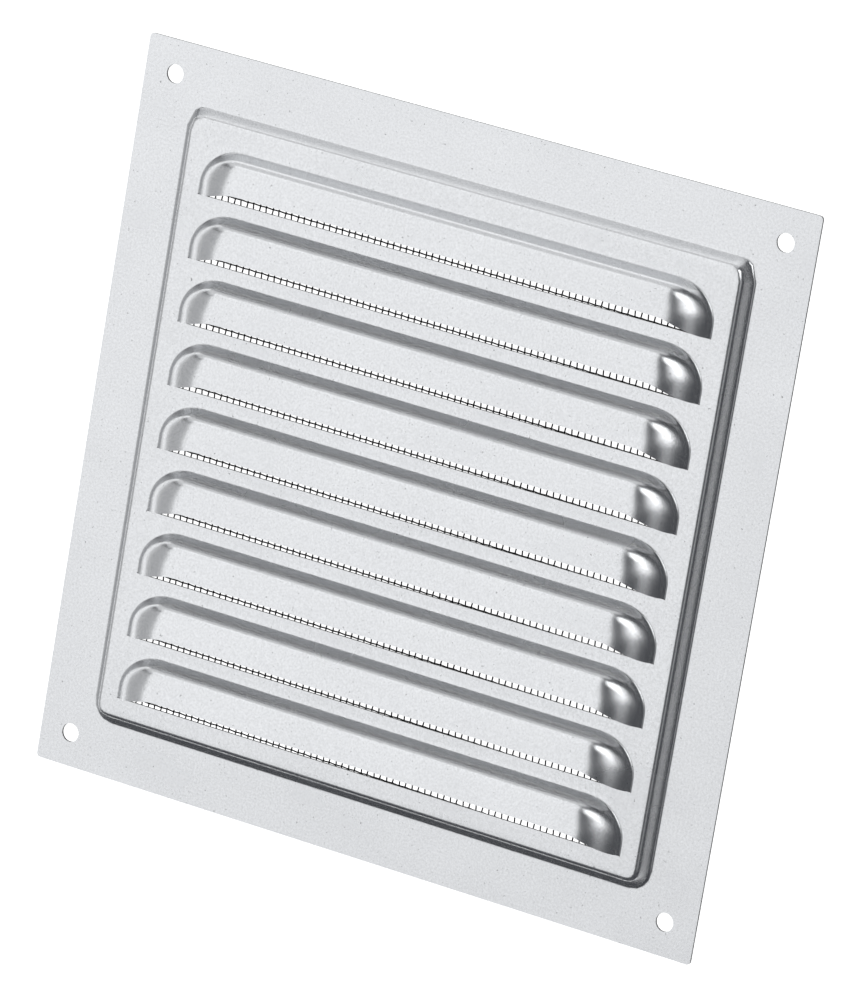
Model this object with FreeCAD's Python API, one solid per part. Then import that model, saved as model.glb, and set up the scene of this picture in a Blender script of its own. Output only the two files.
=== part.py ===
"""Louvred ventilation panel: one pressed sheet of galvanised steel, and the insect mesh behind it.

Units are millimetres.  The panel lies in the XY plane with +Y up as mounted and +Z out of its
front.  The origin is the middle of the flange's back face, which is what meets the wall.
"""
import FreeCAD, Part
import math
import os

from FreeCAD import Vector

# ---- sheet -------------------------------------------------------------------------------------
SHEET_T = 0.5              # thickness of the steel sheet
PLATE_W = 150.0            # overall width, X
PLATE_H = 150.0            # overall height, Y
PLATE_CORNER_R = 0.8       # the blank's corners

# ---- fixing holes ------------------------------------------------------------------------------
HOLE_D = 3.8               # clearance hole for a 3.5 mm screw
HOLE_INSET = 6.85          # from the two edges of a corner to the hole's centre

# ---- raised field ------------------------------------------------------------------------------
FLANGE_W = 11.25           # from the plate's edge to the foot of the raised field
FIELD_CORNER_R = 4.4       # corner radius of the field at its foot
FIELD_RAISE = 2.5          # how far the field stands proud of the flange
FOOT_R = 0.8               # front surface, concave bend at the foot of the wall
BROW_R = 1.3               # front surface, convex bend at the top of the wall
WALL_ANGLE = 56.0          # slope of the wall, degrees from the plate

# ---- louvres -----------------------------------------------------------------------------------
LOUVRE_DEPTH = 10.4        # from the top of a louvre's base down to its cut
LOUVRE_LAND = 2.6          # flat strip of field between one cut and the next louvre
LOUVRE_END_LAND = 3.4      # flat field beside each end of a louvre
LOUVRE_CORNER_R = 8.0      # the two upper corners of a louvre's base
HOOD_HEIGHT = 4.2          # front of the lip above the field
HOOD_WALL_ANGLE = 56.0     # slope of the hood's upper wall, degrees from the plate
HOOD_FACE_ANGLE = 5.0      # slope of the hood's face, which still climbs towards the lip
HOOD_CREST_R = 0.9         # front surface, convex bend over its crest
LIP_SETBACK = 2.3          # the lip stands this far above the cut it was sheared from
DOME_RUN = 9.5             # length of the round end, from its foot to the straight face
DOME_LEAN = 0.7            # how far the round end leans inwards as it leaves the field
DOME_FULLNESS = 0.55       # 0.55 swells as a quarter circle does, 1 would be a box's corner
DOME_DRAW = 2.0            # a control point of the round end moves its surface about half as far
LANCE_GAP = 0.15           # width of the shear cut at the two corners of the lip

# ---- insect mesh -------------------------------------------------------------------------------
MESH_WIRE_D = 0.28         # wire of the woven mesh
MESH_EDGE_CLEAR = 1.2      # from the mesh's edge to the bend at the edge of the field
MESH_RIDGE_PITCH = 8.7     # the weave is stated as ridges, one for each sixth wire
MESH_GAP_COLUMNS = 5       # open gaps through the wall, across
MESH_GAP_ROWS = 7          # and up

# ---- worked out from the sizes above -------------------------------------------------------------
FRONT_Z = FIELD_RAISE + SHEET_T                      # front surface of the field
FIELD_W = PLATE_W - 2 * FLANGE_W                     # at the foot of the wall
FIELD_H = PLATE_H - 2 * FLANGE_W
WALL_RAD = math.radians(WALL_ANGLE)
BEND_RISE = (FOOT_R + BROW_R) * (1 - math.cos(WALL_RAD))
WALL_LEN = (FIELD_RAISE - BEND_RISE) / math.sin(WALL_RAD)
WALL_RUN = (FOOT_R + BROW_R) * math.sin(WALL_RAD) + WALL_LEN * math.cos(WALL_RAD)
FLAT_W = FIELD_W - 2 * WALL_RUN                      # flat part of the field
FLAT_H = FIELD_H - 2 * WALL_RUN
LOUVRE_PITCH = LOUVRE_DEPTH + LOUVRE_LAND
LOUVRE_LEN = FLAT_W - 2 * LOUVRE_END_LAND
LOUVRE_COUNT = int((FLAT_H - LOUVRE_LAND) // LOUVRE_PITCH)
LOUVRE_ROWS = [LOUVRE_PITCH * (k - (LOUVRE_COUNT - 1) / 2) - LOUVRE_DEPTH / 2 for k in range(LOUVRE_COUNT)]
MESH_W = FLAT_W - 2 * MESH_EDGE_CLEAR
MESH_H = FLAT_H - 2 * MESH_EDGE_CLEAR


def rounded_rectangle(width, height, radius, z):
    """A closed wire round the origin at height z, with its four corners as arcs."""
    x, y = width / 2, height / 2
    bow = radius * (1 - math.cos(math.pi / 4))
    edges = []
    for sx, sy in ((1, 1), (-1, 1), (-1, -1), (1, -1)):
        along_x = Vector(sx * (x - radius), sy * y, z)
        middle = Vector(sx * (x - bow), sy * (y - bow), z)
        along_y = Vector(sx * x, sy * (y - radius), z)
        ends = (along_y, along_x) if sx * sy > 0 else (along_x, along_y)
        if edges:
            edges.append(Part.LineSegment(edges[-1].Vertexes[-1].Point, ends[0]).toShape())
        edges.append(Part.Arc(ends[0], middle, ends[1]).toShape())
    edges.append(Part.LineSegment(edges[-1].Vertexes[-1].Point, edges[0].Vertexes[0].Point).toShape())
    return Part.Wire(edges)


def flat_sheet(width, height, radius, z):
    """A flat piece of the sheet whose back is at height z."""
    face = Part.Face(rounded_rectangle(width, height, radius, z))
    return face.extrude(Vector(0, 0, SHEET_T))


def wall_section():
    """Section of the field's wall in the XZ plane, with its foot at x = 0 and the field at +x.

    The front surface is bend, slope, bend; the back surface is the same line one sheet deeper.
    """
    sin_w, cos_w = math.sin(WALL_RAD), math.cos(WALL_RAD)
    half = WALL_RAD / 2

    def surface(depth):
        foot_r = FOOT_R + depth
        brow_r = BROW_R - depth
        foot_c = Vector(0, 0, SHEET_T + FOOT_R)
        brow_c = Vector(WALL_RUN, 0, FRONT_Z - BROW_R)
        start = foot_c + Vector(0, 0, -foot_r)
        foot_mid = foot_c + Vector(foot_r * math.sin(half), 0, -foot_r * math.cos(half))
        foot_end = foot_c + Vector(foot_r * sin_w, 0, -foot_r * cos_w)
        brow_start = brow_c + Vector(-brow_r * sin_w, 0, brow_r * cos_w)
        brow_mid = brow_c + Vector(-brow_r * math.sin(half), 0, brow_r * math.cos(half))
        end = brow_c + Vector(0, 0, brow_r)
        edges = [Part.Arc(start, foot_mid, foot_end).toShape(),
                 Part.LineSegment(foot_end, brow_start).toShape(),
                 Part.Arc(brow_start, brow_mid, end).toShape()]
        return edges, start, end

    front, front_start, front_end = surface(0.0)
    back, back_start, back_end = surface(SHEET_T)
    foot = Part.LineSegment(back_start, front_start).toShape()
    brow = Part.LineSegment(front_end, back_end).toShape()
    return Part.Face(Part.Wire(front + [brow] + back[::-1] + [foot]))


def field_wall():
    """The sloping wall round the field: four straight runs and four turned corners."""
    section = wall_section()
    up = Vector(0, 0, 1)
    pieces = []
    for quarter, (across, along) in enumerate(((FIELD_W, FIELD_H), (FIELD_H, FIELD_W)) * 2):
        run = along / 2 - FIELD_CORNER_R
        side = section.copy()
        side.translate(Vector(-across / 2, -run, 0))
        side = side.extrude(Vector(0, 2 * run, 0))
        corner = section.copy()
        corner.translate(Vector(-across / 2, run, 0))
        pivot = Vector(-across / 2 + FIELD_CORNER_R, run, 0)
        corner = corner.revolve(pivot, up, -90)
        for piece in (side, corner):
            piece.rotate(Vector(0, 0, 0), up, 90 * quarter)
            pieces.append(piece)
    return pieces[0].multiFuse(pieces[1:])


def blank():
    """The pressed sheet before its louvres: flange, wall and field, with the fixing holes."""
    flange = flat_sheet(PLATE_W, PLATE_H, PLATE_CORNER_R, 0)
    opening = Part.Face(rounded_rectangle(FIELD_W, FIELD_H, FIELD_CORNER_R, 0))
    flange = flange.cut(opening.extrude(Vector(0, 0, SHEET_T)))
    field = flat_sheet(FLAT_W, FLAT_H, FIELD_CORNER_R - WALL_RUN, FIELD_RAISE)
    sheet = flange.multiFuse([field_wall(), field])
    for sx in (-1, 1):
        for sy in (-1, 1):
            centre = Vector(sx * (PLATE_W / 2 - HOLE_INSET), sy * (PLATE_H / 2 - HOLE_INSET), 0)
            sheet = sheet.cut(Part.makeCylinder(HOLE_D / 2, SHEET_T, centre))
    return sheet.removeSplitter()


def hood_section(depth):
    """A hood's section as strips from foot to lip, each three points (down, out, weight).

    The front skin is the steep wall, an arc over its crest and the flat face; down is measured
    down the panel and out from the field.  The back skin is the same line one sheet deeper, with
    a flat strip at its foot and a plain corner under the crest, and ends straight behind the
    front of the lip.
    """
    wall, face = math.radians(HOOD_WALL_ANGLE), math.radians(HOOD_FACE_ANGLE)
    run = LOUVRE_DEPTH - LIP_SETBACK - HOOD_CREST_R * (math.sin(wall) - math.sin(face))
    rise = HOOD_HEIGHT - HOOD_CREST_R * (math.cos(face) - math.cos(wall))
    foot_mitre = depth * math.tan(wall / 2)
    wall_len = (rise * math.cos(face) - run * math.sin(face)) / math.sin(wall - face) + foot_mitre
    face_len = (run * math.sin(wall) - rise * math.cos(wall)) / math.sin(wall - face)
    face_len -= depth * math.tan(face)
    crest_tangent = (HOOD_CREST_R - depth) * math.tan((wall - face) / 2)
    crest_weight = math.cos((wall - face) / 2)
    if depth:
        wall_half, face_half = (wall_len + crest_tangent) / 2, (face_len + crest_tangent) / 2
        legs = [(foot_mitre / 2, 0, 1, foot_mitre / 2, 0),
                (wall_half, wall, 1, wall_half, wall),
                (face_half, face, 1, face_half, face)]
    else:
        legs = [(wall_len / 2, wall, 1, wall_len / 2, wall),
                (crest_tangent, wall, crest_weight, crest_tangent, face),
                (face_len / 2, face, 1, face_len / 2, face)]
    strips = []
    down, out = 0.0, -depth
    for first_len, first_angle, weight, second_len, second_angle in legs:
        strip = [(down, out, 1)]
        down += first_len * math.cos(first_angle)
        out += first_len * math.sin(first_angle)
        strip.append((down, out, weight))
        down += second_len * math.cos(second_angle)
        out += second_len * math.sin(second_angle)
        strip.append((down, out, 1))
        strips.append(strip)
    return strips


def dome_stations():
    """Stations along a hood's end: (distance from the end, height of the base, share of height).

    They are the four control points of one sweep, which starts up the louvre's short side and
    ends in line with its straight top.
    """
    straight = LOUVRE_DEPTH - LOUVRE_CORNER_R
    swell = DOME_FULLNESS * LOUVRE_CORNER_R
    return [(0.0, straight, 0.0),
            (DOME_LEAN, straight + swell, DOME_FULLNESS),
            (DOME_RUN * (1 - DOME_FULLNESS), LOUVRE_DEPTH, 1.0),
            (DOME_RUN, LOUVRE_DEPTH, 1.0)]


def dome_points(strip, depth):
    """Control points of one strip of the left dome, one row for each station.

    Each row is the section, flattened and narrowed to its station, with the cut along y = 0.  The
    back skin's rows also move inwards where the dome is steep, so that both skins stay about one
    sheet apart.
    """
    stations = dome_stations()
    reach = LOUVRE_DEPTH - LIP_SETBACK
    height = hood_section(depth)[-1][-1][1] + depth
    rows = []
    for index, (inward, base, share) in enumerate(stations):
        before, after = stations[max(index - 1, 0)], stations[min(index + 1, len(stations) - 1)]
        slope = math.atan2(HOOD_HEIGHT * (after[2] - before[2]), after[0] - before[0])
        if share in (0.0, 1.0):
            slope = 0.0
        share_here = share + depth * (1 - math.cos(slope)) / height
        row = []
        for down, out, _ in strip:
            rise = (out + depth) / height
            x = inward - LOUVRE_LEN / 2 + DOME_DRAW * depth * math.sin(slope) * rise
            y = base - (base - LIP_SETBACK * share) * down / reach
            row.append(Vector(x, y, rise * height * share_here - depth))
        rows.append(row)
    return rows


def dome_skin(depth):
    """The left dome's surfaces from foot to lip, one for each strip of the section."""
    skin = []
    for strip in hood_section(depth):
        rows = dome_points(strip, depth)
        weights = [[weight for _, _, weight in strip]] * len(rows)
        surface = Part.BSplineSurface()
        surface.buildFromPolesMultsKnots(rows, [4, 4], [3, 3], [0, 1], [0, 1], False, False, 3, 2, weights)
        skin.append(surface)
    return skin


def section_edges(depth, x):
    """The hood's section as true arcs and lines, in the plane at x."""
    edges = []
    for strip in hood_section(depth):
        first, middle, last = [Vector(x, LOUVRE_DEPTH - down, out) for down, out, _ in strip]
        weight = strip[1][2]
        if weight == 1:
            edges.append(Part.LineSegment(first, last).toShape())
            continue
        crown = ((first + last) / 2 + middle * weight) / (1 + weight)
        edges.append(Part.Arc(first, crown, last).toShape())
    return edges


def joined_faces(faces):
    """A solid from faces that already meet edge to edge."""
    shell = Part.Shell(faces)
    shell.sewShape()
    solid = Part.Solid(shell)
    if solid.Volume < 0:
        solid.reverse()
    return solid


def hood():
    """One louvre's hood, with the cut along y = 0 and the field's front surface at z = 0."""
    front, back = dome_skin(0), dome_skin(SHEET_T)
    through = Vector(0, 0, -SHEET_T)
    rim = front[0].vIso(0).toShape().extrude(through)
    end_outline = [strip.uIso(0).toShape() for strip in front + back]
    for strip, v in ((0, 0), (-1, 1)):
        end_outline.append(Part.LineSegment(front[strip].value(0, v), back[strip].value(0, v)).toShape())
    end = Part.Face(Part.Wire(Part.__sortEdges__(end_outline)))
    lip = Part.makeRuledSurface(front[-1].vIso(1).toShape(), back[-1].vIso(1).toShape())
    join_x = DOME_RUN - LOUVRE_LEN / 2
    outline = section_edges(0, join_x) + section_edges(SHEET_T, join_x)
    for strip, v in ((0, 0), (-1, 1)):
        outline.append(Part.LineSegment(front[strip].value(1, v), back[strip].value(1, v)).toShape())
    section = Part.Face(Part.Wire(Part.__sortEdges__(outline)))
    foot = back[0]
    foot_sides = [foot.vIso(0), foot.uIso(1), foot.vIso(1), foot.uIso(0)]
    foot_outline = Part.Wire(Part.__sortEdges__([side.toShape() for side in foot_sides]))
    skins = [strip.toShape() for strip in front + back[1:]] + [Part.Face(foot_outline)]
    left = joined_faces(skins + [end, rim, lip, section])
    right = left.mirror(Vector(0, 0, 0), Vector(1, 0, 0))
    middle = section.extrude(Vector(LOUVRE_LEN - 2 * DOME_RUN, 0, 0))
    return left.multiFuse([middle, right])


def hood_opening():
    """What a louvre cuts out of the field: its own base, and the shear gap below its lip."""
    front = dome_skin(0)
    left_rim = [front[0].vIso(0).toShape()] + [strip.uIso(0).toShape() for strip in front]
    right_rim = [edge.mirror(Vector(0, 0, 0), Vector(1, 0, 0)) for edge in left_rim]
    top = front[0].value(1, 0)
    corner = front[-1].value(0, 1)
    points = [corner, corner - Vector(0, LANCE_GAP, 0)]
    points += [Vector(-point.x, point.y, point.z) for point in reversed(points)]
    edges = [Part.LineSegment(a, b).toShape() for a, b in zip(points, points[1:])]
    edges.append(Part.LineSegment(top, Vector(-top.x, top.y, top.z)).toShape())
    face = Part.Face(Part.Wire(Part.__sortEdges__(left_rim + right_rim + edges)))
    return face.extrude(Vector(0, 0, -SHEET_T))


def louvred_panel():
    """The whole pressing, one solid."""
    places = [Vector(0, y, FRONT_Z) for y in LOUVRE_ROWS]
    openings, hoods = [], []
    for shapes, shape in ((openings, hood_opening()), (hoods, hood())):
        for place in places:
            copy = shape.copy()
            copy.translate(place)
            shapes.append(copy)
    return blank().cut(openings).multiFuse(hoods).removeSplitter()


def insect_mesh():
    """The woven mesh against the back of the field, as one wall with ridges and open gaps.

    Ridges along X stand on its front and ridges along Y on its back, so that together they are
    two wires thick, as a plain weave is.
    """
    ridge_h = 0.7 * MESH_WIRE_D
    wall_t = 2 * (MESH_WIRE_D - ridge_h)
    wall_z = FIELD_RAISE - ridge_h - wall_t
    columns = int(MESH_W // MESH_RIDGE_PITCH)
    rows = int(MESH_H // MESH_RIDGE_PITCH)

    def line(count, index):
        return (index - count / 2) * MESH_RIDGE_PITCH

    outline = Part.makePolygon([Vector(sx * MESH_W / 2, sy * MESH_H / 2, wall_z)
                                for sx, sy in ((-1, -1), (1, -1), (1, 1), (-1, 1), (-1, -1))])
    half = MESH_RIDGE_PITCH / 2 - MESH_WIRE_D
    wall = Part.Face(outline)
    gaps = []
    for i in range(MESH_GAP_COLUMNS):
        x = line(columns, int((i + 0.5) * columns / MESH_GAP_COLUMNS) + 0.5)
        for j in range(MESH_GAP_ROWS):
            y = line(rows, int((j + 0.5) * rows / MESH_GAP_ROWS) + 0.5)
            gaps.append(Part.makePlane(2 * half, 2 * half, Vector(x - half, y - half, wall_z)))
    wall = wall.cut(gaps).extrude(Vector(0, 0, wall_t))
    ridges = []
    for j in range(rows + 1):
        corner = Vector(-MESH_W / 2, line(rows, j) - MESH_WIRE_D / 2, wall_z + wall_t)
        ridges.append(Part.makeBox(MESH_W, MESH_WIRE_D, ridge_h, corner))
    for i in range(columns + 1):
        corner = Vector(line(columns, i) - MESH_WIRE_D / 2, -MESH_H / 2, wall_z - ridge_h)
        ridges.append(Part.makeBox(MESH_WIRE_D, MESH_H, ridge_h, corner))
    return wall.multiFuse(ridges)


def main():
    """Write one STEP file for each piece."""
    os.makedirs("parts", exist_ok=True)
    for name, shape in (("louvred_panel", louvred_panel()), ("insect_mesh", insect_mesh())):
        if len(shape.Solids) != 1 or not shape.isValid():
            raise ValueError(f"{name} is not one sound solid")
        shape.Solids[0].exportStep(f"parts/{name}.step")
        print(f"{name}: {shape.Volume:.1f} mm3, {len(shape.Faces)} faces")


if __name__ == "__main__":
    main()
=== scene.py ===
"""Dresses the louvred ventilation panel: the pressed zinc sheet and the woven mesh behind it.

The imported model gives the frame.  The sheet is rebuilt as one smooth skin with a thickness, so
that its bends and scooped louvre ends catch the light as pressed metal does, and the mesh is
woven wire by wire.  All lengths are metres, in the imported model's own frame: x runs across the
panel, y up it, and z out of it towards the front.
"""

import logging
import math
from dataclasses import dataclass, field
from enum import Enum

import bmesh
import bpy
from mathutils import Matrix, Vector
from mathutils.geometry import delaunay_2d_cdt


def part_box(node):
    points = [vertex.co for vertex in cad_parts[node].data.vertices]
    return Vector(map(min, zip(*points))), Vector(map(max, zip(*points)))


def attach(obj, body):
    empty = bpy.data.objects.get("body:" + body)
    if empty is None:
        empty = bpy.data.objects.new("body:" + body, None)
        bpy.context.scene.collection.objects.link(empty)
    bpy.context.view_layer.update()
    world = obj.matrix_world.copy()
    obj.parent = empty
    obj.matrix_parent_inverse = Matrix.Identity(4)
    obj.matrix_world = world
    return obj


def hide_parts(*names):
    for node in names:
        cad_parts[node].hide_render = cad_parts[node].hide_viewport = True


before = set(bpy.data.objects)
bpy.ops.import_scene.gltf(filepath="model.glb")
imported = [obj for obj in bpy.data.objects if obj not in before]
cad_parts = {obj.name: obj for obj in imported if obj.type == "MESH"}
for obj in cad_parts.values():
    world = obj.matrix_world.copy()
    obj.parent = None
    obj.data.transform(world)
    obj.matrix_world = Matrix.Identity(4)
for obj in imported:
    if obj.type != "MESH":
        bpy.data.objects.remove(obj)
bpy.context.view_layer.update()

logging.basicConfig(level=logging.INFO, format="%(levelname)s %(message)s")
log = logging.getLogger("louvred_panel")

MM = 0.001
TINY = 1e-9
INSIDE_THE_OUTLINE = 1  # the kind of triangulation that leaves nothing outside the outline

Point = tuple[float, float]
Triple = tuple[float, float, float]
Colour = tuple[float, float, float, float]
Stops = tuple[Point, ...]
Socket = str | int


class WireRun(Enum):
    """The two directions of the weave."""

    WARP = "warp"
    WEFT = "weft"


class Upright(Enum):
    """Which way a softbox's height runs: up the lying panel, or up the room."""

    PANEL = (0, 1, 0)
    ROOM = (0, 0, 1)


# ---- helpers for node trees and objects ----------------------------------------------------------


class NodeMaker:
    """A node tree, with short methods to add and link its nodes."""

    def __init__(self, tree: bpy.types.NodeTree) -> None:
        """Take the tree in hand.

        Args:
            tree: the tree that grows.
        """
        self.tree = tree

    def add(self, kind: str, **values: object) -> bpy.types.Node:
        """Add a node and set its properties.

        Args:
            kind: the node's type name.
            values: properties of the node itself.

        Returns:
            The new node.
        """
        node = self.tree.nodes.new(kind)
        for key, value in values.items():
            setattr(node, key, value)
        return node

    def feed(self, source: bpy.types.NodeSocket, target: bpy.types.Node, into: Socket) -> None:
        """Link an output socket to a node's input."""
        self.tree.links.new(source, target.inputs[into])

    def link(self, source: bpy.types.Node, out: Socket, target: bpy.types.Node, into: Socket) -> None:
        """Link a node's output to another node's input."""
        self.feed(source.outputs[out], target, into)


class Shader(NodeMaker):
    """A material's node tree, with methods for the textures that the finishes share."""

    def __init__(self, name: str) -> None:
        """Start a material that is one plain surface.

        Args:
            name: the material's name.
        """
        self.material = bpy.data.materials.new(name)
        self.material.use_nodes = True
        super().__init__(self.material.node_tree)
        self.tree.nodes.clear()
        self.output = self.add("ShaderNodeOutputMaterial")
        self.bsdf = self.add("ShaderNodeBsdfPrincipled")
        self.link(self.bsdf, "BSDF", self.output, "Surface")

    def object_coordinates(self, scale: Triple) -> bpy.types.Node:
        """Add object coordinates through a Mapping node.

        Args:
            scale: how much each axis is stretched before a texture reads it.

        Returns:
            The Mapping node.
        """
        coordinates = self.add("ShaderNodeTexCoord")
        mapping = self.add("ShaderNodeMapping")
        mapping.inputs["Scale"].default_value = scale
        self.link(coordinates, "Object", mapping, "Vector")
        return mapping

    def noise(self, scale: float, detail: float, stretch: Triple = (1, 1, 1),
              seed: float = 0.0, roughness: float = 0.5) -> bpy.types.Node:
        """Add a noise texture on object coordinates.

        Args:
            scale: cells per metre.
            detail: octaves of finer noise.
            stretch: scale of each axis, to draw the noise out along a direction.
            seed: slice of the four-dimensional noise.
            roughness: weight of the finer octaves.

        Returns:
            The noise node.
        """
        node = self.add("ShaderNodeTexNoise", noise_dimensions="4D")
        node.inputs["Scale"].default_value = scale
        node.inputs["Detail"].default_value = detail
        node.inputs["Roughness"].default_value = roughness
        node.inputs["W"].default_value = seed
        self.link(self.object_coordinates(stretch), "Vector", node, "Vector")
        return node

    def ramp(self, noise: bpy.types.Node, stops: Stops) -> bpy.types.Node:
        """Add a grey ramp over a noise texture.

        Args:
            noise: the texture to read.
            stops: (position, grey) pairs, in order.

        Returns:
            The ramp node.
        """
        node = self.add("ShaderNodeValToRGB")
        elements = node.color_ramp.elements
        half_way = 0.5
        while len(elements) < len(stops):
            elements.new(half_way)
        for element, (position, grey) in zip(elements, stops):
            element.position = position
            element.color = (grey, grey, grey, 1)
        self.link(noise, "Fac", node, "Fac")
        return node

    def shaded(self, shade: bpy.types.Node) -> bpy.types.Node:
        """Add a Mix node that multiplies its first colour by a ramp's grey.

        Args:
            shade: the ramp node.

        Returns:
            The Mix node, whose first colour is still to be set or linked.
        """
        node = self.add("ShaderNodeMix", data_type="RGBA", blend_type="MULTIPLY")
        node.inputs["Factor"].default_value = 1.0
        self.link(shade, "Color", node, "B")
        return node


class WireTree(NodeMaker):
    """Geometry nodes for all wires of one direction: one bent wire, copied across."""

    INPUTS = {"Pitch": "NodeSocketFloat", "Wire": "NodeSocketFloat",
              "Crossings": "NodeSocketInt", "Material": "NodeSocketMaterial"}
    SIDES = 5  # facets round a wire

    def __init__(self, run: WireRun) -> None:
        """Start the tree with its named inputs and its output.

        Args:
            run: which way the wires go.
        """
        super().__init__(bpy.data.node_groups.new(f"{run.value}_wires", "GeometryNodeTree"))
        face = self.tree.interface
        face.new_socket("Geometry", in_out="OUTPUT", socket_type="NodeSocketGeometry")
        for name, kind in self.INPUTS.items():
            face.new_socket(name, in_out="INPUT", socket_type=kind)
        self.given = self.add("NodeGroupInput")
        self.result = self.add("NodeGroupOutput")
        pitch, crossings = self.given.outputs["Pitch"], self.given.outputs["Crossings"]
        half_pitch = self.calculate("MULTIPLY", pitch, 0.5)
        half_span = self.calculate("MULTIPLY", self.calculate("SUBTRACT", crossings, 1.0), half_pitch)
        self.first_place = self.calculate("MULTIPLY", half_span, -1.0)
        self.parity = self.calculate("MODULO", self.add("GeometryNodeInputIndex").outputs[0], 2.0)

    def calculate(self, operation: str, *inputs: bpy.types.NodeSocket | float) -> bpy.types.NodeSocket:
        """Add a Math node.

        Args:
            operation: what it calculates.
            inputs: its inputs in order, each a socket or a number.

        Returns:
            The socket of the result.
        """
        node = self.add("ShaderNodeMath", operation=operation)
        for slot, value in enumerate(inputs):
            if isinstance(value, bpy.types.NodeSocket):
                self.feed(value, node, slot)
            else:
                node.inputs[slot].default_value = value
        return node.outputs[0]

    def vector(self, **axes: bpy.types.NodeSocket) -> bpy.types.NodeSocket:
        """Add a Combine XYZ node.

        Args:
            axes: the socket that feeds each named axis; the others stay zero.

        Returns:
            The socket of the vector.
        """
        node = self.add("ShaderNodeCombineXYZ")
        for axis, source in axes.items():
            self.feed(source, node, axis)
        return node.outputs[0]

    def wire(self) -> bpy.types.Node:
        """Add one wire along X, rising and dipping at each crossing.

        Returns:
            The node that gives its tube.
        """
        line = self.add("GeometryNodeMeshLine")
        self.link(self.given, "Crossings", line, "Count")
        self.feed(self.vector(X=self.given.outputs["Pitch"]), line, "Offset")
        side = self.calculate("SUBTRACT", self.calculate("MULTIPLY", self.parity, 2.0), 1.0)
        lift = self.calculate("MULTIPLY", self.calculate("MULTIPLY", side, self.given.outputs["Wire"]), 0.5)
        bend = self.add("GeometryNodeSetPosition")
        self.link(line, "Mesh", bend, "Geometry")
        self.feed(self.vector(X=self.first_place, Z=lift), bend, "Offset")
        curve = self.add("GeometryNodeMeshToCurve")
        self.link(bend, 0, curve, "Mesh")
        section = self.add("GeometryNodeCurvePrimitiveCircle")
        section.inputs["Resolution"].default_value = self.SIDES
        self.feed(self.calculate("MULTIPLY", self.given.outputs["Wire"], 0.5), section, "Radius")
        tube = self.add("GeometryNodeCurveToMesh")
        self.link(curve, 0, tube, "Curve")
        self.link(section, "Curve", tube, "Profile Curve")
        tube.inputs["Fill Caps"].default_value = True
        return tube

    def build(self) -> bpy.types.GeometryNodeTree:
        """Copy the wire to each crossing along Y, with every second one turned over.

        Returns:
            The finished tree.
        """
        places = self.add("GeometryNodeMeshLine")
        self.link(self.given, "Crossings", places, "Count")
        self.feed(self.vector(Y=self.given.outputs["Pitch"]), places, "Offset")
        self.feed(self.vector(Y=self.first_place), places, "Start Location")
        copies = self.add("GeometryNodeInstanceOnPoints")
        self.link(places, "Mesh", copies, "Points")
        self.link(self.wire(), 0, copies, "Instance")
        self.feed(self.vector(X=self.calculate("MULTIPLY", self.parity, math.pi)), copies, "Rotation")
        real = self.add("GeometryNodeRealizeInstances")
        self.link(copies, 0, real, 0)
        finish = self.add("GeometryNodeSetMaterial")
        self.link(real, 0, finish, "Geometry")
        self.link(self.given, "Material", finish, "Material")
        self.link(finish, 0, self.result, 0)
        return self.tree


def new_object(name: str, mesh: bpy.types.Mesh, materials: list[bpy.types.Material]) -> bpy.types.Object:
    """Link a mesh into the scene as an object with its materials.

    Args:
        name: the object's name.
        mesh: its mesh, already in the frame's coordinates.
        materials: its material slots, in order, where the mesh doesn't have them yet.

    Returns:
        The new object.
    """
    piece = bpy.data.objects.new(name, mesh)
    bpy.context.scene.collection.objects.link(piece)
    for material in materials:
        mesh.materials.append(material)
    return piece


def applied(holder: bpy.types.Object) -> bpy.types.Mesh:
    """Turn an object with its modifiers into a plain mesh.

    Args:
        holder: the object, which is removed.

    Returns:
        The evaluated mesh.
    """
    graph = bpy.context.evaluated_depsgraph_get()
    made = bpy.data.meshes.new_from_object(holder.evaluated_get(graph), depsgraph=graph)
    bpy.data.objects.remove(holder)
    return made


def steps(count: int) -> list[float]:
    """The ends of equal steps from 0 to 1, without the 0."""
    return [k / count for k in range(1, count + 1)]


# ---- finishes ------------------------------------------------------------------------------------


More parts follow.
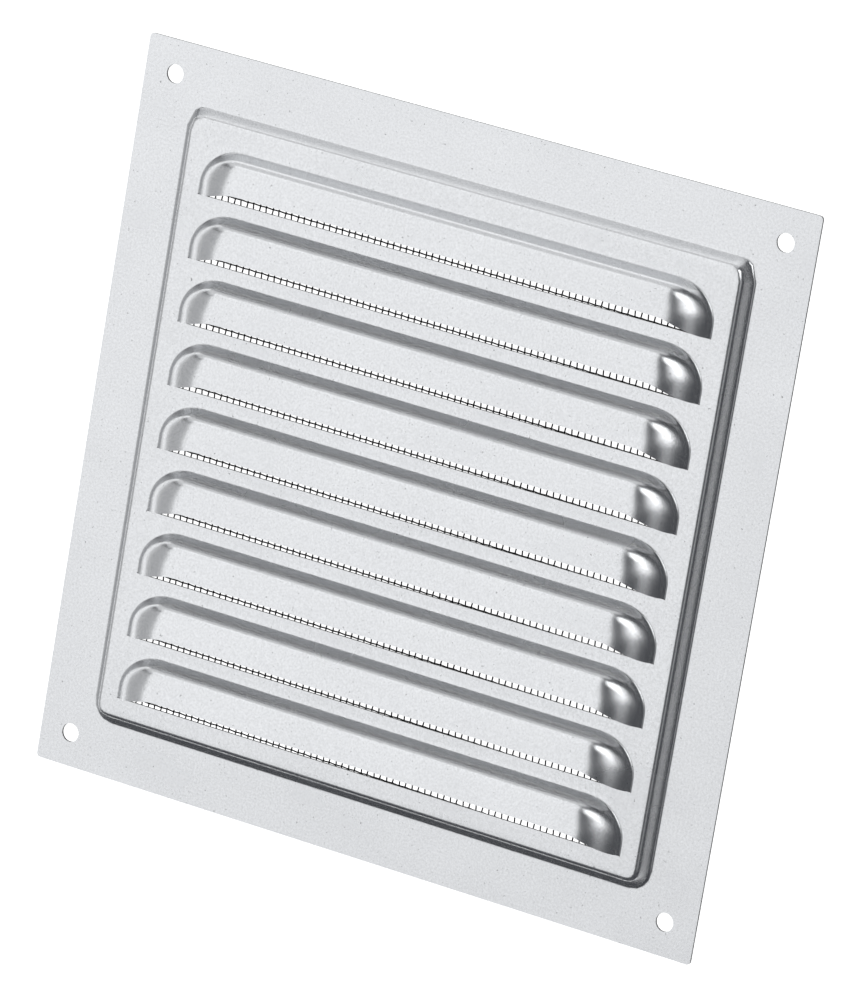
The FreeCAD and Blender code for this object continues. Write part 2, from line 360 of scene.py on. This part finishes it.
@dataclass(frozen=True)
class ZincFinish:
    """Smooth zinc coating on steel: satin, finely mottled, with specks and light scratches."""

    colour: Colour = (0.80, 0.81, 0.825, 1)
    roughness: float = 0.26
    smoothest: float = -0.01
    roughest: float = 0.02
    mottle_scale: float = 2200.0
    mottle_tones: Stops = ((0.3, 0.86), (0.7, 1.0))
    speck_scale: float = 1500.0
    speck_roughness: float = 0.7
    speck_tones: Stops = ((0.0, 0.15), (0.305, 0.30), (0.340, 1.0))
    cloud_scale: float = 45.0
    cloud_stretch: Triple = (1, 1.4, 1)
    cloud_range: Point = (0.3, 0.7)
    scratch_scale: float = 700.0
    scratch_stretch: Triple = (1, 0.06, 1)
    relief_strength: float = 0.25
    relief: float = 0.02 * MM

    def material(self) -> bpy.types.Material:
        """Build the zinc's material.

        Returns:
            The material.
        """
        shader = Shader("galvanised_steel")
        shader.bsdf.inputs["Metallic"].default_value = 1.0
        mottle = shader.noise(self.mottle_scale, detail=3.0, seed=1.0)
        specks = shader.noise(self.speck_scale, detail=3.0, seed=7.0, roughness=self.speck_roughness)
        tint = shader.shaded(shader.ramp(mottle, self.mottle_tones))
        tint.inputs["A"].default_value = self.colour
        spotted = shader.shaded(shader.ramp(specks, self.speck_tones))
        shader.link(tint, "Result", spotted, "A")
        shader.link(spotted, "Result", shader.bsdf, "Base Color")
        self.add_gloss(shader)
        self.add_relief(shader, mottle)
        return shader.material

    def add_gloss(self, shader: Shader) -> None:
        """Let the gloss drift a little across the sheet.

        Args:
            shader: the zinc's shader.
        """
        cloud = shader.noise(self.cloud_scale, detail=2.0, stretch=self.cloud_stretch, seed=4.0)
        low, high = self.cloud_range
        gloss = ((low, self.roughness + self.smoothest), (high, self.roughness + self.roughest))
        shader.link(shader.ramp(cloud, gloss), "Color", shader.bsdf, "Roughness")

    def add_relief(self, shader: Shader, mottle: bpy.types.Node) -> None:
        """Raise the mottle and the scratches very slightly.

        Args:
            shader: the zinc's shader.
            mottle: the mottle's noise.
        """
        scratch = shader.noise(self.scratch_scale, detail=2.0, stretch=self.scratch_stretch, seed=11.0)
        height = shader.add("ShaderNodeMath", operation="ADD")
        shader.link(mottle, "Fac", height, 0)
        shader.link(scratch, "Fac", height, 1)
        bump = shader.add("ShaderNodeBump")
        bump.inputs["Strength"].default_value = self.relief_strength
        bump.inputs["Distance"].default_value = self.relief
        shader.link(height, "Value", bump, "Height")
        shader.link(bump, "Normal", shader.bsdf, "Normal")


@dataclass(frozen=True)
class CutEdgeFinish:
    """The sheared edge of the sheet, where bare steel shows between the two zinc skins."""

    grey: float = 0.10
    darkest: float = 0.7
    lightest: float = 1.3
    metallic: float = 0.6
    roughness: float = 0.6
    grain_scale: float = 4000.0
    grain_stretch: Triple = (1, 1, 0.15)
    grain_range: Point = (0.3, 0.7)

    def material(self) -> bpy.types.Material:
        """Build the cut edge's material.

        Returns:
            The material.
        """
        shader = Shader("sheared_edge")
        shader.bsdf.inputs["Metallic"].default_value = self.metallic
        shader.bsdf.inputs["Roughness"].default_value = self.roughness
        grain = shader.noise(self.grain_scale, detail=1.0, stretch=self.grain_stretch, seed=3.0)
        low, high = self.grain_range
        tones = ((low, self.darkest * self.grey), (high, self.lightest * self.grey))
        shader.link(shader.ramp(grain, tones), "Color", shader.bsdf, "Base Color")
        return shader.material


@dataclass(frozen=True)
class WireFinish:
    """Black coated wire, dull."""

    colour: Colour = (0.012, 0.012, 0.013, 1)
    specular: float = 0.2
    grain_scale: float = 9000.0
    gloss: Stops = ((0.3, 0.55), (0.7, 0.75))

    def material(self) -> bpy.types.Material:
        """Build the wire's material.

        Returns:
            The material.
        """
        shader = Shader("mesh_wire")
        shader.bsdf.inputs["Base Color"].default_value = self.colour
        shader.bsdf.inputs["Specular IOR Level"].default_value = self.specular
        grain = shader.noise(self.grain_scale, detail=1.0, seed=5.0)
        shader.link(shader.ramp(grain, self.gloss), "Color", shader.bsdf, "Roughness")
        return shader.material


# ---- the pressed sheet ---------------------------------------------------------------------------


@dataclass(frozen=True)
class Facets:
    """How many steps each form of the skin is divided into."""

    hood_foot: int = 4
    hood_wall: int = 3
    hood_crest: int = 12
    hood_face: int = 5
    beside_hood: int = 4
    dome: int = 28
    hood_middle: int = 24
    bottom_strip: int = 4
    land: int = 4
    top_strip: int = 6
    brow: int = 8
    wall: int = 3
    wall_foot: int = 6
    plate_corner: int = 6
    hole: int = 48


@dataclass(frozen=True)
class Column:
    """One column of the field's grid.

    Attributes:
        x: where it stands.
        base: how high a louvre's foot is there above its cut, or its short upright side beside it.
        inward: how far it is inside the louvre's end.
    """

    x: float
    base: float
    inward: float

    @property
    def hooded(self) -> bool:
        """Whether it runs through the hoods."""
        return self.inward > TINY


@dataclass
class PressedSheet:
    """The pressing: flange, raised field and louvre hoods, as one skin with a thickness."""

    body: str = "root"
    node: str = "louvred_panel"
    facets: Facets = Facets()
    # the plate and its screw holes
    thickness: float = 0.5 * MM
    plate_corner: float = 0.8 * MM
    hole_radius: float = 1.9 * MM
    hole_inset: float = 6.85 * MM
    hole_share: float = 0.99  # of a hole's radius, within which a triangle counts as in the hole
    # the raised field and its sloping wall
    flange: float = 11.25 * MM
    field_corner: float = 4.4 * MM
    field_raise: float = 2.5 * MM
    foot_radius: float = 0.8 * MM
    brow_radius: float = 1.3 * MM
    foot_margin: float = 0.3 * MM
    wall_angle: float = math.radians(56)
    # the louvres' places
    louvre_depth: float = 10.4 * MM
    louvre_land: float = 2.6 * MM
    end_land: float = 3.4 * MM
    # a hood's section
    hood_foot_radius: float = 0.45 * MM
    hood_crest_radius: float = 2.6 * MM
    hood_wall_angle: float = math.radians(68)
    hood_face_angle: float = math.radians(5)
    hood_height: float = 4.2 * MM
    # a hood's lip and domed ends
    lip_setback: float = 2.3 * MM
    lip_run: float = 11.0 * MM
    dome_run: float = 9.5 * MM
    dome_fillet: float = 1.2 * MM
    dome_fullness: float = 2.2
    lance_gap: float = 0.15 * MM
    crease_angle: float = math.radians(40)
    size: Vector = field(init=False)
    profile: list[Point] = field(init=False)

    def __post_init__(self) -> None:
        """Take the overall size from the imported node, and work out the hood's section."""
        low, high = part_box(self.node)
        self.size = high - low
        self.profile = self.hood_profile()

    @property
    def reach(self) -> float:
        """From a hood's foot down to its lip, seen from the front."""
        return self.louvre_depth - self.lip_setback

    @property
    def front(self) -> float:
        """Height of the field's front surface."""
        return self.field_raise + self.thickness

    @property
    def wall_run(self) -> float:
        """Width of the field's sloping wall, seen from the front.

        Returns:
            The width, with both of the wall's bends.
        """
        bends = self.foot_radius + self.brow_radius
        rise = self.field_raise - bends * (1 - math.cos(self.wall_angle))
        return bends * math.sin(self.wall_angle) + rise / math.tan(self.wall_angle)

    @property
    def flat_half(self) -> float:
        """Half the width of the field's flat part, which is square."""
        return self.size.x / 2 - self.flange - self.wall_run

    @property
    def louvre_half(self) -> float:
        """Half a louvre's length."""
        return self.flat_half - self.end_land

    @property
    def pitch(self) -> float:
        """From one louvre's cut to the next."""
        return self.louvre_depth + self.louvre_land

    @property
    def cuts(self) -> list[float]:
        """Heights of the louvres' cuts up the panel, as many as fit on the field."""
        count = int((2 * self.flat_half - self.louvre_land) // self.pitch)
        return [self.pitch * (k - (count - 1) / 2) - self.louvre_depth / 2 for k in range(count)]

    def hood_profile(self) -> list[Point]:
        """Work out a hood's section: a bend at its foot, a steep wall, a crest and a sloping face.

        Returns:
            Points (down, out) from the hood's foot to its lip.
        """
        wall, face = self.hood_wall_angle, self.hood_face_angle
        foot_r, crest_r = self.hood_foot_radius, self.hood_crest_radius
        run = self.reach - foot_r * math.sin(wall) - crest_r * (math.sin(wall) - math.sin(face))
        rise = self.hood_height - foot_r * (1 - math.cos(wall))
        rise -= crest_r * (math.cos(face) - math.cos(wall))
        wall_length = (rise * math.cos(face) - run * math.sin(face)) / math.sin(wall - face)
        points = [(0.0, 0.0)]
        for t in steps(self.facets.hood_foot):
            turn = wall * t
            points.append((foot_r * math.sin(turn), foot_r * (1 - math.cos(turn))))
        down, out = points[-1]
        for t in steps(self.facets.hood_wall):
            points.append((down + wall_length * t * math.cos(wall),
                           out + wall_length * t * math.sin(wall)))
        down, out = points[-1]
        for t in steps(self.facets.hood_crest):
            turn = wall + (face - wall) * t
            points.append((down + crest_r * (math.sin(wall) - math.sin(turn)),
                           out + crest_r * (math.cos(turn) - math.cos(wall))))
        down, out = points[-1]
        for t in steps(self.facets.hood_face):
            forward = (self.reach - down) * t
            points.append((down + forward, out + forward * math.tan(face)))
        return points

    def columns(self) -> list[Column]:
        """Lay out the field's columns, close together where a hood's ends curve.

        Returns:
            The columns, from left to right.
        """
        half, flat, run = self.louvre_half, self.flat_half, self.dome_run
        count = self.facets.beside_hood
        left = [Column(-flat + (flat - half) * k / count, self.lip_setback, (half - flat) * (1 - k / count))
                for k in range(count)]
        for t in [0.0] + steps(self.facets.dome):
            turn = math.pi / 2 * t
            inward = run * (1 - math.cos(turn))
            left.append(Column(inward - half, self.lip_setback + self.reach * math.sin(turn), inward))
        inner = half - run
        middle = [Column(-inner + 2 * inner * t, self.louvre_depth, half - abs(-inner + 2 * inner * t))
                  for t in steps(self.facets.hood_middle)[:-1]]
        return left + middle + [Column(-column.x, column.base, column.inward) for column in reversed(left)]

    def lip_height(self, inward: float) -> float:
        """How far the lip stands above its cut, at a distance from the louvre's end."""
        t = min(inward / self.lip_run, 1.0)
        return self.lip_setback * t * t * (3 - 2 * t)

    def hood_height_at(self, inward: float, above: float) -> float:
        """Work out how far a hood's front stands out of the field.

        Seen from the front, the round end is a quarter of an ellipse about a centre on the lip's
        level.  Across the top the hood follows its section, and towards the side it becomes a dome.

        Args:
            inward: distance from the louvre's end.
            above: distance above the louvre's cut.

        Returns:
            The height.
        """
        side = max(1 - inward / self.dome_run, 0.0)
        top = max((above - self.lip_setback) / self.reach, 0.0)
        radius = min(math.hypot(side, top), 1.0)
        section = self.section_height((1 - radius) * self.reach)
        if side == 0.0:
            return section
        ease = min((1 - radius) * self.dome_run / self.dome_fillet, 1.0)
        dome = self.hood_height * (1 - radius ** self.dome_fullness) * ease * (2 - ease)
        share = top * top / (side * side + top * top)
        return dome + (section - dome) * share * share

    def section_height(self, down: float) -> float:
        """Read the height of the hood's section.

        Args:
            down: distance down from the hood's foot.

        Returns:
            The height there.
        """
        for (down_0, out_0), (down_1, out_1) in zip(self.profile, self.profile[1:]):
            if down <= down_1:
                return out_0 + (out_1 - out_0) * (down - down_0) / (down_1 - down_0)
        return self.profile[-1][1]

    def hood_rows(self, mesh: bmesh.types.BMesh, columns: list[Column],
                  cut: float) -> list[list[bmesh.types.BMVert]]:
        """Add the points of a louvre, and of the flat field beside it.

        Args:
            mesh: the mesh that grows.
            columns: the field's columns.
            cut: height of the louvre's cut up the panel.

        Returns:
            Rows from the lip up to the hood's foot.
        """
        rows = []
        for down, _ in reversed(self.profile):
            row = []
            for column in columns:
                lip = self.lip_height(column.inward) if column.hooded else 0.0
                y = column.base - (column.base - lip) * down / self.reach
                z = self.hood_height_at(column.inward, y) if column.hooded else 0.0
                row.append(mesh.verts.new((column.x, cut + y, self.front + z)))
            rows.append(row)
        return rows

    def lance(self, mesh: bmesh.types.BMesh, columns: list[Column], lip: list[bmesh.types.BMVert],
              below: list[bmesh.types.BMVert]) -> None:
        """Part a lip from the sheet below it, and join the two beside the louvre.

        Args:
            mesh: the mesh that grows.
            columns: the field's columns.
            lip: the row of the lip, changed where it joins.
            below: the row along the cut, moved down where it parts.
        """
        for i, column in enumerate(columns):
            if column.hooded:
                below[i].co.y -= self.lance_gap
            else:
                mesh.verts.remove(lip[i])
                lip[i] = below[i]

    def add_field(self, mesh: bmesh.types.BMesh) -> list[bmesh.types.BMVert]:
        """Add the flat field with its hoods, from its lower edge up.

        Args:
            mesh: the mesh that grows.

        Returns:
            The vertices of the field's outer edge, unordered.
        """
        columns, cuts = self.columns(), self.cuts
        flat, front = self.flat_half, self.front
        count = self.facets.bottom_strip
        heights = [-flat + (cuts[0] + flat) * k / count for k in range(count + 1)]
        rows = [[mesh.verts.new((column.x, y, front)) for column in columns] for y in heights]
        self.bridge(mesh, rows)
        rim = rows[0] + [row[i] for row in rows for i in (0, -1)]
        for cut, top in zip(cuts, cuts[1:] + [flat]):
            below = rows[-1]
            rows = self.hood_rows(mesh, columns, cut)
            self.lance(mesh, columns, rows[0], below)
            for t in steps(self.facets.land if top < flat else self.facets.top_strip):
                places = [(column.x, cut + column.base + (top - cut - column.base) * t) for column in columns]
                rows.append([mesh.verts.new((x, y, front)) for x, y in places])
            self.bridge(mesh, rows)
            rim += [row[i] for row in rows for i in (0, -1)]
        return list(dict.fromkeys(rim + rows[-1]))

    @staticmethod
    def bridge(mesh: bmesh.types.BMesh, rows: list[list[bmesh.types.BMVert]]) -> None:
        """Fill a grid of rows with quads that face out of the panel.

        Args:
            mesh: the mesh that grows.
            rows: the rows, from the lowest up.
        """
        for lower, upper in zip(rows, rows[1:]):
            for i in range(len(lower) - 1):
                corners = [lower[i], lower[i + 1], upper[i + 1], upper[i]]
                mesh.faces.new(list(dict.fromkeys(corners)))

    @staticmethod
    def outward_line(x: float, y: float, centre: float) -> tuple[Vector, Vector]:
        """Find the line that a point of the field's edge follows out to the flange.

        Args:
            x: the point's place across the panel.
            y: its place up the panel.
            centre: distance of the rounded corners' centres from both middle lines.

        Returns:
            The line's start, on the square through those centres, and its direction.
        """
        across, up = math.copysign(centre, x), math.copysign(centre, y)
        if abs(x) > centre and abs(y) > centre:
            turn = Vector((abs(x) - centre, abs(y) - centre, 0)).normalized()
            return Vector((across, up, 0)), Vector((math.copysign(turn.x, x), math.copysign(turn.y, y), 0))
        if abs(x) > abs(y):
            return Vector((across, y, 0)), Vector((math.copysign(1, x), 0, 0))
        return Vector((x, up, 0)), Vector((0, math.copysign(1, y), 0))

    def add_wall(self, mesh: bmesh.types.BMesh, rim: list[bmesh.types.BMVert]) -> list[bmesh.types.BMVert]:
        """Round the field's corners and add the wall round it, from its brow down to its foot.

        Args:
            mesh: the mesh that grows.
            rim: the vertices of the field's outer edge.

        Returns:
            The vertices of the wall's foot, in order round the panel.
        """
        corner = self.field_corner - self.wall_run
        rim.sort(key=lambda vertex: math.atan2(vertex.co.y, vertex.co.x))
        lines = [self.outward_line(vertex.co.x, vertex.co.y, self.flat_half - corner) for vertex in rim]
        for vertex, (start, way) in zip(rim, lines):
            vertex.co.xy = (start + way * corner).xy
        loops = [rim]
        for outward, drop in self.wall_profile():
            height = Vector((0, 0, self.front - drop))
            points = [start + way * (corner + outward) + height for start, way in lines]
            loops.append([mesh.verts.new(point) for point in points])
        for inner, outer in zip(loops, loops[1:]):
            for i in range(len(inner)):
                j = (i + 1) % len(inner)
                mesh.faces.new((inner[i], outer[i], outer[j], inner[j]))
        return loops[-1]

    def wall_profile(self) -> list[Point]:
        """Work out the wall's section: its brow, its straight slope and the bend at its foot.

        Returns:
            Points (outward, drop) after the brow's first line, the last a little out on the flange.
        """
        angle = self.wall_angle
        points = []
        for t in steps(self.facets.brow):
            turn = angle * t
            points.append((self.brow_radius * math.sin(turn), self.brow_radius * (1 - math.cos(turn))))
        start_out, start_drop = points[-1]
        end_out = self.wall_run - self.foot_radius * math.sin(angle)
        end_drop = self.field_raise - self.foot_radius * (1 - math.cos(angle))
        for t in steps(self.facets.wall):
            points.append((start_out + (end_out - start_out) * t, start_drop + (end_drop - start_drop) * t))
        for t in steps(self.facets.wall_foot):
            turn = angle * (1 - t)
            points.append((self.wall_run - self.foot_radius * math.sin(turn),
                           self.field_raise - self.foot_radius * (1 - math.cos(turn))))
        points.append((self.wall_run + self.foot_margin, self.field_raise))
        return points

    def plate_outline(self) -> list[Vector]:
        """Work out the plate's outline.

        Returns:
            Points round the plate, with its four small corners rounded.
        """
        corner, count = self.plate_corner, self.facets.plate_corner
        across, up = self.size.x / 2 - corner, self.size.y / 2 - corner
        outline = []
        for quarter, (side, end) in enumerate(((1, 1), (-1, 1), (-1, -1), (1, -1))):
            for k in range(count + 1):
                angle = math.pi / 2 * (quarter + k / count)
                outline.append(Vector((side * across + corner * math.cos(angle),
                                       end * up + corner * math.sin(angle))))
        return outline

    def hole_outlines(self) -> list[list[Vector]]:
        """Work out the four screw holes.

        Returns:
            The points round each hole.
        """
        across, up = self.size.x / 2 - self.hole_inset, self.size.y / 2 - self.hole_inset
        turns = [2 * math.pi * k / self.facets.hole for k in range(self.facets.hole)]
        return [[Vector((side * across + self.hole_radius * math.cos(turn),
                         end * up + self.hole_radius * math.sin(turn))) for turn in turns]
                for side in (-1, 1) for end in (-1, 1)]

    def in_hole(self, point: Vector) -> bool:
        """Whether the middle of one of the flange's triangles lies in a screw hole."""
        across, up = self.size.x / 2 - self.hole_inset, self.size.y / 2 - self.hole_inset
        return math.hypot(abs(point.x) - across, abs(point.y) - up) < self.hole_radius * self.hole_share

    def add_flange(self, mesh: bmesh.types.BMesh, foot: list[bmesh.types.BMVert]) -> None:
        """Add the flat flange with its four screw holes round the wall's foot.

        Args:
            mesh: the mesh that grows.
            foot: the vertices of the wall's foot, in order.
        """
        outline = self.plate_outline()
        points, edges = [], []
        for loop in [outline, [vertex.co.xy for vertex in foot], *self.hole_outlines()]:
            first = len(points)
            points += loop
            edges += [(first + i, first + (i + 1) % len(loop)) for i in range(len(loop))]
        places, _, triangles, origins, _, _ = delaunay_2d_cdt(points, edges, [], INSIDE_THE_OUTLINE, TINY)
        on_foot = {len(outline) + i: vertex for i, vertex in enumerate(foot)}
        made = [on_foot.get(origin[0] if origin else None) or mesh.verts.new((*place, self.thickness))
                for place, origin in zip(places, origins)]
        foot_set = set(foot)
        for corners in triangles:
            a, b, c = (places[i] for i in corners)
            vertices = [made[i] for i in corners]
            if self.in_hole((a + b + c) / 3) or foot_set.issuperset(vertices):
                continue
            if (b - a).cross(c - a) < 0:
                vertices.reverse()
            mesh.faces.new(vertices)

    def thickened(self, skin: bmesh.types.BMesh, materials: list[bpy.types.Material]) -> bpy.types.Mesh:
        """Give the front skin its thickness, with crisp sheared edges.

        Args:
            skin: the front skin, which is used up.
            materials: the material of both skins, then that of the sheared edges.

        Returns:
            The closed sheet.
        """
        data = bpy.data.meshes.new("front_skin")
        skin.to_mesh(data)
        skin.free()
        holder = new_object("front_skin", data, materials)
        shell = holder.modifiers.new("sheet_thickness", "SOLIDIFY")
        shell.thickness = self.thickness
        shell.offset = -1
        shell.material_offset_rim = 1
        made = applied(holder)
        made.set_sharp_from_angle(angle=self.crease_angle)
        return made

    def build(self, zinc: bpy.types.Material, edge: bpy.types.Material) -> bpy.types.Object:
        """Build the dressed sheet.

        Args:
            zinc: material of both skins.
            edge: material of the sheared edges.

        Returns:
            The finished object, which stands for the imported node.
        """
        skin = bmesh.new()
        rim = self.add_field(skin)
        foot = self.add_wall(skin, rim)
        self.add_flange(skin, foot)
        for face in skin.faces:
            face.smooth = True
        piece = new_object("pressed_sheet", self.thickened(skin, [zinc, edge]), [])
        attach(piece, self.body)
        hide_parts(self.node)
        return piece


# ---- the woven mesh ------------------------------------------------------------------------------


@dataclass
class InsectMesh:
    """Plain weave of black wires, lying on the back of the field."""

    body: str = "root"
    node: str = "insect_mesh"
    wire: float = 0.31 * MM
    pitch: float = 1.45 * MM
    turn: float = math.radians(-0.6)

    def wires(self, run: WireRun, crossings: int, material: bpy.types.Material) -> bpy.types.Mesh:
        """Weave all wires of one direction.

        Args:
            run: which way the wires go.
            crossings: how many wires cross each one, and how many wires there are.
            material: the wires' material.

        Returns:
            Their plain mesh, centred on the origin.
        """
        holder = new_object("weaver", bpy.data.meshes.new("weaver"), [])
        modifier = holder.modifiers.new("weave", "NODES")
        modifier.node_group = WireTree(run).build()
        values = {"Pitch": self.pitch, "Wire": self.wire, "Crossings": crossings, "Material": material}
        for item in modifier.node_group.interface.items_tree:
            if item.in_out == "INPUT":
                modifier[item.identifier] = values[item.name]
        made = applied(holder)
        if run is WireRun.WARP:
            made.transform(Matrix.Rotation(math.pi / 2, 4, "Z"))
            made.transform(Matrix.Rotation(math.pi, 4, "X"))
        return made

    def build(self, material: bpy.types.Material) -> bpy.types.Object:
        """Build the woven mesh.

        Args:
            material: the wires' material.

        Returns:
            The finished object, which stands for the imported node.
        """
        low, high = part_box(self.node)
        span = high.x - low.x
        crossings = int((span - self.wire) / self.pitch / (1 + abs(math.sin(self.turn)))) + 1
        weave = bmesh.new()
        for run in WireRun:
            weave.from_mesh(self.wires(run, crossings, material))
        data = bpy.data.meshes.new("woven_mesh")
        weave.to_mesh(data)
        weave.free()
        middle = Vector((0, 0, high.z - self.wire))
        data.transform(Matrix.Translation(middle) @ Matrix.Rotation(self.turn, 4, "Z"))
        data.shade_smooth()
        piece = new_object("woven_mesh", data, [material])
        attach(piece, self.body)
        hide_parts(self.node)
        return piece


# ---- the studio ----------------------------------------------------------------------------------


@dataclass(frozen=True)
class Softbox:
    """A rectangular light that faces the panel.

    Attributes:
        name: the light's name.
        way: from the panel towards the light.
        up: which way its height runs.
        width: its size across.
        height: its other size.
        radiance: how bright its face is, where 1 is the floor's white.
        distance: how far from the panel it hangs.
        colour: the colour of its light.
    """

    name: str
    way: Triple
    up: Upright
    width: float
    height: float
    radiance: float
    distance: float = 2.5
    colour: Triple = (0.995, 0.998, 1.0)

    def hang(self) -> None:
        """Hang the light in its place, turned to the panel."""
        data = bpy.data.lights.new(self.name, "AREA")
        data.shape = "RECTANGLE"
        data.size, data.size_y = self.width, self.height
        data.energy = self.radiance * math.pi * self.width * self.height
        data.color = self.colour
        light = bpy.data.objects.new(self.name, data)
        back = Vector(self.way).normalized()
        across = Vector(self.up.value).cross(back).normalized()
        axes = Matrix((across, back.cross(across), back)).transposed()
        light.matrix_world = Matrix.Translation(back * self.distance) @ axes.to_4x4()
        bpy.context.scene.collection.objects.link(light)


@dataclass(frozen=True)
class Studio:
    """Pale floor, soft lights and the camera.

    The key hangs over the panel's left half.  The top and left boxes stand low beyond its top and
    left edges, and the glint and the dim tail hang over its right half.
    """

    camera_place: Triple = (0.7222, 0.3999, 1.4212)
    camera_right: Triple = (0.8613, 0.16147, -0.48175)
    camera_up: Triple = (-0.25714, 0.9563, -0.1392)
    lens: float = 303.5
    sensor_width: float = 36.0
    clip: Point = (0.01, 50.0)
    floor_colour: Colour = (0.8, 0.8, 0.8, 1)
    floor_glow: Colour = (1, 1, 1, 1)
    floor_roughness: float = 0.9
    floor_reach: float = 6.0
    floor_drop: float = 0.02 * MM
    room_colour: Colour = (0.07, 0.073, 0.08, 1)
    boxes: tuple[Softbox, ...] = (
        Softbox("key", (-0.44, 0.18, 0.88), Upright.PANEL, 1.45, 3.60, 1.07),
        Softbox("top", (-0.44, 0.85, 0.31), Upright.ROOM, 3.30, 1.85, 0.66),
        Softbox("left", (-0.90, -0.15, 0.42), Upright.ROOM, 2.40, 2.30, 0.40),
        Softbox("glint", (0.38, 0.40, 0.83), Upright.PANEL, 1.35, 1.25, 2.1),
        Softbox("tail", (0.52, -0.10, 0.85), Upright.PANEL, 0.80, 1.20, 0.4),
    )

    def camera(self) -> None:
        """Place the camera above the lying panel, turned a little about its own axis."""
        data = bpy.data.cameras.new("camera")
        data.lens = self.lens
        data.sensor_width = self.sensor_width
        data.clip_start, data.clip_end = self.clip
        camera = bpy.data.objects.new("camera", data)
        right, up = Vector(self.camera_right), Vector(self.camera_up)
        axes = Matrix((right, up, right.cross(up))).transposed()
        camera.matrix_world = Matrix.Translation(Vector(self.camera_place)) @ axes.to_4x4()
        bpy.context.scene.collection.objects.link(camera)
        bpy.context.scene.camera = camera

    def floor(self) -> None:
        """Lay a wide plain floor that is white of itself, so it shows white through the mesh."""
        shader = Shader("floor")
        shader.bsdf.inputs["Base Color"].default_value = self.floor_colour
        shader.bsdf.inputs["Roughness"].default_value = self.floor_roughness
        shader.bsdf.inputs["Emission Color"].default_value = self.floor_glow
        shader.bsdf.inputs["Emission Strength"].default_value = 1.0
        mesh = bpy.data.meshes.new("floor")
        reach = self.floor_reach
        mesh.from_pydata([(-reach, -reach, 0), (reach, -reach, 0), (reach, reach, 0), (-reach, reach, 0)],
                         [], [(0, 1, 2, 3)])
        floor = new_object("floor", mesh, [shader.material])
        floor.location.z = -self.floor_drop

    def room(self) -> None:
        """Fill the room with its dim, even light."""
        world = bpy.data.worlds.new("studio")
        world.use_nodes = True
        background = world.node_tree.nodes["Background"]
        background.inputs["Color"].default_value = self.room_colour
        background.inputs["Strength"].default_value = 1.0
        bpy.context.scene.world = world

    def build(self) -> None:
        """Set up the whole studio."""
        self.camera()
        self.floor()
        for box in self.boxes:
            box.hang()
        self.room()
        bpy.context.scene.view_settings.view_transform = "Standard"


def main() -> None:
    """Build the pieces in order and report each one."""
    sheet = PressedSheet()
    weave = InsectMesh()
    zinc, edge = ZincFinish().material(), CutEdgeFinish().material()
    for piece in (sheet.build(zinc, edge), weave.build(WireFinish().material())):
        log.info("%s: %d vertices", piece.name, len(piece.data.vertices))
    Studio().build()


if __name__ == "__main__":
    main()
